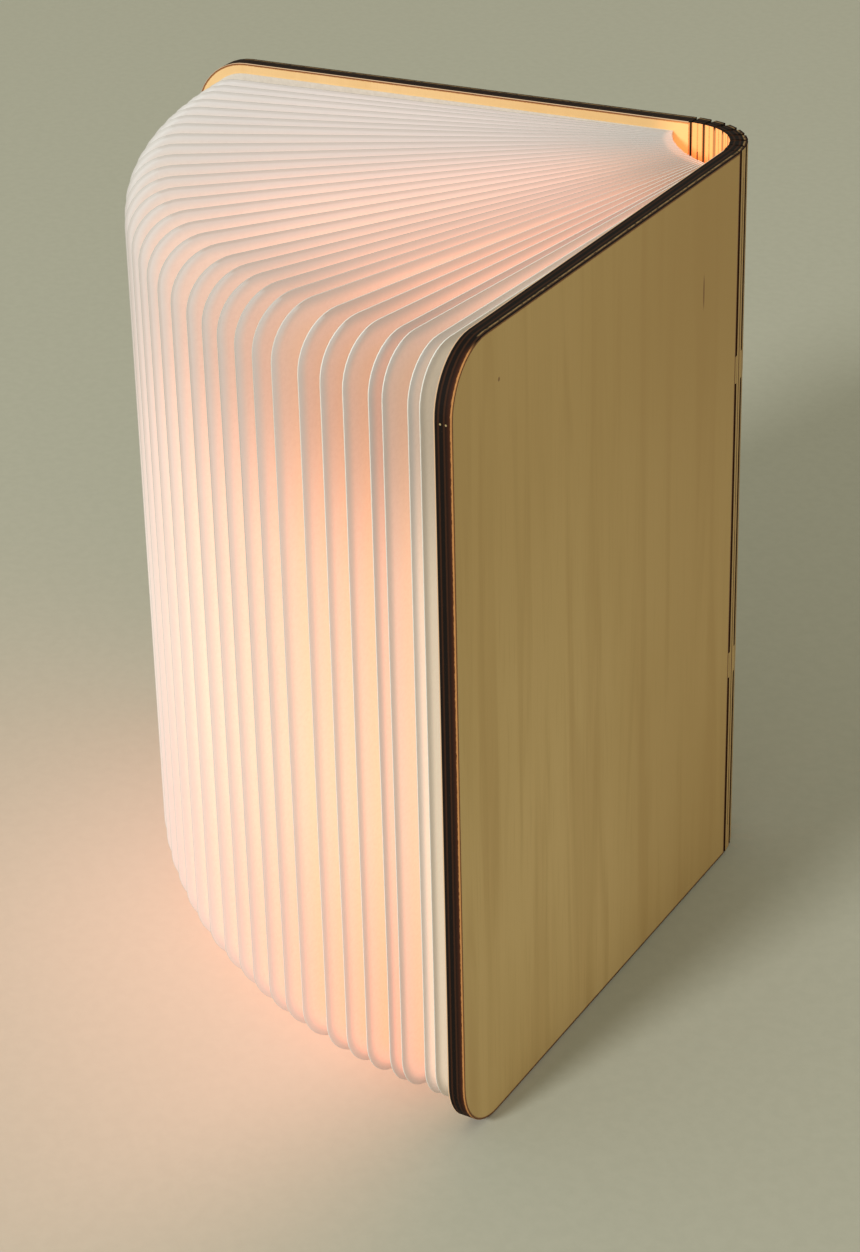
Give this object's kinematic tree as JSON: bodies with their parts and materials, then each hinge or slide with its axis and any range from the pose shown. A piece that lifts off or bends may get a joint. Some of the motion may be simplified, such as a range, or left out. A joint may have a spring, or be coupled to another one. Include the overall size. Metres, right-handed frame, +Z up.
{
  "type": "folding book lamp",
  "caption": "Lamp shaped like a hardback book: plywood covers on a kerf-cut living hinge, a fan of translucent paper leaves and a light engine in the spine.",
  "frame": {"origin": "on the ground under the middle of the spine's centre slat", "axes": "+Z up along the spine, -Y the way the leaves open, +X towards the front cover"},
  "size_m": [0.2422, 0.1651, 0.215],
  "materials": {
    "plywood_cover": "satin",
    "plywood_spine": "satin",
    "leaf_paper": "matte",
    "endpaper": "matte",
    "magnet": "gloss",
    "diffuser": "satin",
    "cap": "matte",
    "saddle": "matte",
    "bar": "satin",
    "strip": "matte",
    "lamp_chip": "gloss",
    "cell": "satin",
    "lead": "satin",
    "board": "satin",
    "board_part": "satin",
    "socket": "satin",
    "reed_glass": "gloss"
  },
  "bodies": {
    "spine": {"spine_slat_4": "plywood_spine", "diffuser_tube": "diffuser", "top_cap": "cap", "bottom_cap": "cap", "tube_saddles": "saddle", "carrier_bar": "bar", "light_strip": "strip", "light_chips": "lamp_chip", "battery_cell": "cell", "battery_leads": "lead", "light_leads": "lead", "control_board": "board", "board_parts": "board_part", "charging_socket": "socket", "reed_switch": "reed_glass"},
    "front_link_1": {"spine_slat_3": "plywood_spine", "page_13": "leaf_paper"},
    "front_link_2": {"spine_slat_2": "plywood_spine", "page_08": "leaf_paper"},
    "front_link_3": {"spine_slat_1": "plywood_spine", "page_04": "leaf_paper"},
    "front_cover_body": {"front_cover": "plywood_cover", "front_endpaper": "endpaper", "front_magnets": "magnet", "switch_magnet": "magnet"},
    "page_16_body": {"page_16": "leaf_paper"},
    "page_15_body": {"page_15": "leaf_paper"},
    "page_14_body": {"page_14": "leaf_paper"},
    "page_12_body": {"page_12": "leaf_paper"},
    "page_11_body": {"page_11": "leaf_paper"},
    "page_10_body": {"page_10": "leaf_paper"},
    "page_09_body": {"page_09": "leaf_paper"},
    "page_07_body": {"page_07": "leaf_paper"},
    "page_06_body": {"page_06": "leaf_paper"},
    "page_05_body": {"page_05": "leaf_paper"},
    "page_03_body": {"page_03": "leaf_paper"},
    "page_02_body": {"page_02": "leaf_paper"},
    "page_01_body": {"page_01": "leaf_paper"},
    "back_link_1": {"spine_slat_5": "plywood_spine", "page_21": "leaf_paper"},
    "back_link_2": {"spine_slat_6": "plywood_spine", "page_25": "leaf_paper"},
    "back_link_3": {"spine_slat_7": "plywood_spine", "page_29": "leaf_paper"},
    "back_cover_body": {"back_cover": "plywood_cover", "back_endpaper": "endpaper", "back_magnets": "magnet"},
    "page_17_body": {"page_17": "leaf_paper"},
    "page_18_body": {"page_18": "leaf_paper"},
    "page_19_body": {"page_19": "leaf_paper"},
    "page_20_body": {"page_20": "leaf_paper"},
    "page_22_body": {"page_22": "leaf_paper"},
    "page_23_body": {"page_23": "leaf_paper"},
    "page_24_body": {"page_24": "leaf_paper"},
    "page_26_body": {"page_26": "leaf_paper"},
    "page_27_body": {"page_27": "leaf_paper"},
    "page_28_body": {"page_28": "leaf_paper"},
    "page_30_body": {"page_30": "leaf_paper"},
    "page_31_body": {"page_31": "leaf_paper"}
  },
  "joints": [
    {"name": "front_kerf_1", "type": "hinge", "parent": "spine", "child": "front_link_1", "pos_m": [0.00215, 0, 0], "axis": [0, 0, 1], "range_deg": [-12.86, 40.66]},
    {"name": "front_kerf_2", "type": "hinge", "parent": "front_link_1", "child": "front_link_2", "pos_m": [0.00632, -0.00103, 0], "axis": [0, 0, 1], "range_deg": [-12.86, 40.66]},
    {"name": "front_kerf_3", "type": "hinge", "parent": "front_link_2", "child": "front_link_3", "pos_m": [0.01013, -0.00304, 0], "axis": [0, 0, 1], "range_deg": [-10.87, 34.37]},
    {"name": "front_kerf_4", "type": "hinge", "parent": "front_link_3", "child": "front_cover_body", "pos_m": [0.01344, -0.00578, 0], "axis": [0, 0, 1], "range_deg": [-6.66, 21.06]},
    {"name": "page_16_fold", "type": "hinge", "parent": "spine", "child": "page_16_body", "pos_m": [0.00215, 0, 0], "axis": [0, 0, 1], "range_deg": [-3.22, 10.18]},
    {"name": "page_15_fold", "type": "hinge", "parent": "spine", "child": "page_15_body", "pos_m": [0.00215, 0, 0], "axis": [0, 0, 1], "range_deg": [-6.43, 20.34]},
    {"name": "page_14_fold", "type": "hinge", "parent": "spine", "child": "page_14_body", "pos_m": [0.00215, 0, 0], "axis": [0, 0, 1], "range_deg": [-9.65, 30.49]},
    {"name": "page_12_fold", "type": "hinge", "parent": "spine", "child": "page_12_body", "pos_m": [0.00215, 0, 0], "axis": [0, 0, 1], "range_deg": [-15.59, 49.29]},
    {"name": "page_11_fold", "type": "hinge", "parent": "front_link_1", "child": "page_11_body", "pos_m": [0.00632, -0.00103, 0], "axis": [0, 0, 1], "range_deg": [-5.4, 17.08]},
    {"name": "page_10_fold", "type": "hinge", "parent": "front_link_1", "child": "page_10_body", "pos_m": [0.00632, -0.00103, 0], "axis": [0, 0, 1], "range_deg": [-8.02, 25.34]},
    {"name": "page_09_fold", "type": "hinge", "parent": "front_link_1", "child": "page_09_body", "pos_m": [0.00632, -0.00103, 0], "axis": [0, 0, 1], "range_deg": [-10.43, 32.98]},
    {"name": "page_07_fold", "type": "hinge", "parent": "front_link_2", "child": "page_07_body", "pos_m": [0.01013, -0.00304, 0], "axis": [0, 0, 1], "range_deg": [-3.3, 10.44]},
    {"name": "page_06_fold", "type": "hinge", "parent": "front_link_2", "child": "page_06_body", "pos_m": [0.01013, -0.00304, 0], "axis": [0, 0, 1], "range_deg": [-5.82, 18.4]},
    {"name": "page_05_fold", "type": "hinge", "parent": "front_link_2", "child": "page_05_body", "pos_m": [0.01013, -0.00304, 0], "axis": [0, 0, 1], "range_deg": [-8.24, 26.04]},
    {"name": "page_03_fold", "type": "hinge", "parent": "front_link_3", "child": "page_03_body", "pos_m": [0.01344, -0.00578, 0], "axis": [0, 0, 1], "range_deg": [-1.3, 4.11]},
    {"name": "page_02_fold", "type": "hinge", "parent": "front_link_3", "child": "page_02_body", "pos_m": [0.01344, -0.00578, 0], "axis": [0, 0, 1], "range_deg": [-3.82, 12.08]},
    {"name": "page_01_fold", "type": "hinge", "parent": "front_link_3", "child": "page_01_body", "pos_m": [0.01344, -0.00578, 0], "axis": [0, 0, 1], "range_deg": [-4.84, 15.31]},
    {"name": "back_kerf_1", "type": "hinge", "parent": "spine", "child": "back_link_1", "pos_m": [-0.00215, 0, 0], "axis": [0, 0, -1], "range_deg": [-12.86, 40.66]},
    {"name": "back_kerf_2", "type": "hinge", "parent": "back_link_1", "child": "back_link_2", "pos_m": [-0.00632, -0.00103, 0], "axis": [0, 0, -1], "range_deg": [-12.86, 40.66]},
    {"name": "back_kerf_3", "type": "hinge", "parent": "back_link_2", "child": "back_link_3", "pos_m": [-0.01013, -0.00304, 0], "axis": [0, 0, -1], "range_deg": [-10.87, 34.37]},
    {"name": "back_kerf_4", "type": "hinge", "parent": "back_link_3", "child": "back_cover_body", "pos_m": [-0.01344, -0.00578, 0], "axis": [0, 0, -1], "range_deg": [-6.66, 21.06]},
    {"name": "page_17_fold", "type": "hinge", "parent": "spine", "child": "page_17_body", "pos_m": [-0.00215, 0, 0], "axis": [0, 0, -1], "range_deg": [-0.0039, 0.0079]},
    {"name": "page_18_fold", "type": "hinge", "parent": "spine", "child": "page_18_body", "pos_m": [-0.00215, 0, 0], "axis": [0, 0, -1], "range_deg": [-3.22, 10.16]},
    {"name": "page_19_fold", "type": "hinge", "parent": "spine", "child": "page_19_body", "pos_m": [-0.00215, 0, 0], "axis": [0, 0, -1], "range_deg": [-6.43, 20.32]},
    {"name": "page_20_fold", "type": "hinge", "parent": "spine", "child": "page_20_body", "pos_m": [-0.00215, 0, 0], "axis": [0, 0, -1], "range_deg": [-9.65, 30.51]},
    {"name": "page_22_fold", "type": "hinge", "parent": "back_link_1", "child": "page_22_body", "pos_m": [-0.00632, -0.00103, 0], "axis": [0, 0, -1], "range_deg": [-3.22, 10.17]},
    {"name": "page_23_fold", "type": "hinge", "parent": "back_link_1", "child": "page_23_body", "pos_m": [-0.00632, -0.00103, 0], "axis": [0, 0, -1], "range_deg": [-6.43, 20.33]},
    {"name": "page_24_fold", "type": "hinge", "parent": "back_link_1", "child": "page_24_body", "pos_m": [-0.00632, -0.00103, 0], "axis": [0, 0, -1], "range_deg": [-9.65, 30.5]},
    {"name": "page_26_fold", "type": "hinge", "parent": "back_link_2", "child": "page_26_body", "pos_m": [-0.01013, -0.00304, 0], "axis": [0, 0, -1], "range_deg": [-2.72, 8.59]},
    {"name": "page_27_fold", "type": "hinge", "parent": "back_link_2", "child": "page_27_body", "pos_m": [-0.01013, -0.00304, 0], "axis": [0, 0, -1], "range_deg": [-5.44, 17.19]},
    {"name": "page_28_fold", "type": "hinge", "parent": "back_link_2", "child": "page_28_body", "pos_m": [-0.01013, -0.00304, 0], "axis": [0, 0, -1], "range_deg": [-8.15, 25.78]},
    {"name": "page_30_fold", "type": "hinge", "parent": "back_link_3", "child": "page_30_body", "pos_m": [-0.01344, -0.00578, 0], "axis": [0, 0, -1], "range_deg": [-2.22, 7.02]},
    {"name": "page_31_fold", "type": "hinge", "parent": "back_link_3", "child": "page_31_body", "pos_m": [-0.01344, -0.00578, 0], "axis": [0, 0, -1], "range_deg": [-4.44, 14.04]}
  ],
  "couplings": [
    {"joint": "front_kerf_2", "follows": "front_kerf_1", "ratio": 1},
    {"joint": "front_kerf_3", "follows": "front_kerf_1", "ratio": 0.84532},
    {"joint": "front_kerf_4", "follows": "front_kerf_1", "ratio": 0.51799},
    {"joint": "page_16_fold", "follows": "front_kerf_1", "ratio": 0.2504},
    {"joint": "page_15_fold", "follows": "front_kerf_1", "ratio": 0.50017},
    {"joint": "page_14_fold", "follows": "front_kerf_1", "ratio": 0.74994},
    {"joint": "page_12_fold", "follows": "front_kerf_1", "ratio": 1.2122},
    {"joint": "page_11_fold", "follows": "front_kerf_1", "ratio": 0.41993},
    {"joint": "page_10_fold", "follows": "front_kerf_1", "ratio": 0.62327},
    {"joint": "page_09_fold", "follows": "front_kerf_1", "ratio": 0.81106},
    {"joint": "page_07_fold", "follows": "front_kerf_1", "ratio": 0.25662},
    {"joint": "page_06_fold", "follows": "front_kerf_1", "ratio": 0.4524},
    {"joint": "page_05_fold", "follows": "front_kerf_1", "ratio": 0.6404},
    {"joint": "page_03_fold", "follows": "front_kerf_1", "ratio": 0.10109},
    {"joint": "page_02_fold", "follows": "front_kerf_1", "ratio": 0.29708},
    {"joint": "page_01_fold", "follows": "front_kerf_1", "ratio": 0.37643},
    {"joint": "back_kerf_1", "follows": "front_kerf_1", "ratio": 1},
    {"joint": "back_kerf_2", "follows": "front_kerf_1", "ratio": 1},
    {"joint": "back_kerf_3", "follows": "front_kerf_1", "ratio": 0.84532},
    {"joint": "back_kerf_4", "follows": "front_kerf_1", "ratio": 0.51799},
    {"joint": "page_17_fold", "follows": "front_kerf_1", "ratio": 0.00014555},
    {"joint": "page_18_fold", "follows": "front_kerf_1", "ratio": 0.24991},
    {"joint": "page_19_fold", "follows": "front_kerf_1", "ratio": 0.49968},
    {"joint": "page_20_fold", "follows": "front_kerf_1", "ratio": 0.75023},
    {"joint": "page_22_fold", "follows": "front_kerf_1", "ratio": 0.25},
    {"joint": "page_23_fold", "follows": "front_kerf_1", "ratio": 0.5},
    {"joint": "page_24_fold", "follows": "front_kerf_1", "ratio": 0.75},
    {"joint": "page_26_fold", "follows": "front_kerf_1", "ratio": 0.21133},
    {"joint": "page_27_fold", "follows": "front_kerf_1", "ratio": 0.42266},
    {"joint": "page_28_fold", "follows": "front_kerf_1", "ratio": 0.63399},
    {"joint": "page_30_fold", "follows": "front_kerf_1", "ratio": 0.17266},
    {"joint": "page_31_fold", "follows": "front_kerf_1", "ratio": 0.34532}
  ]
}
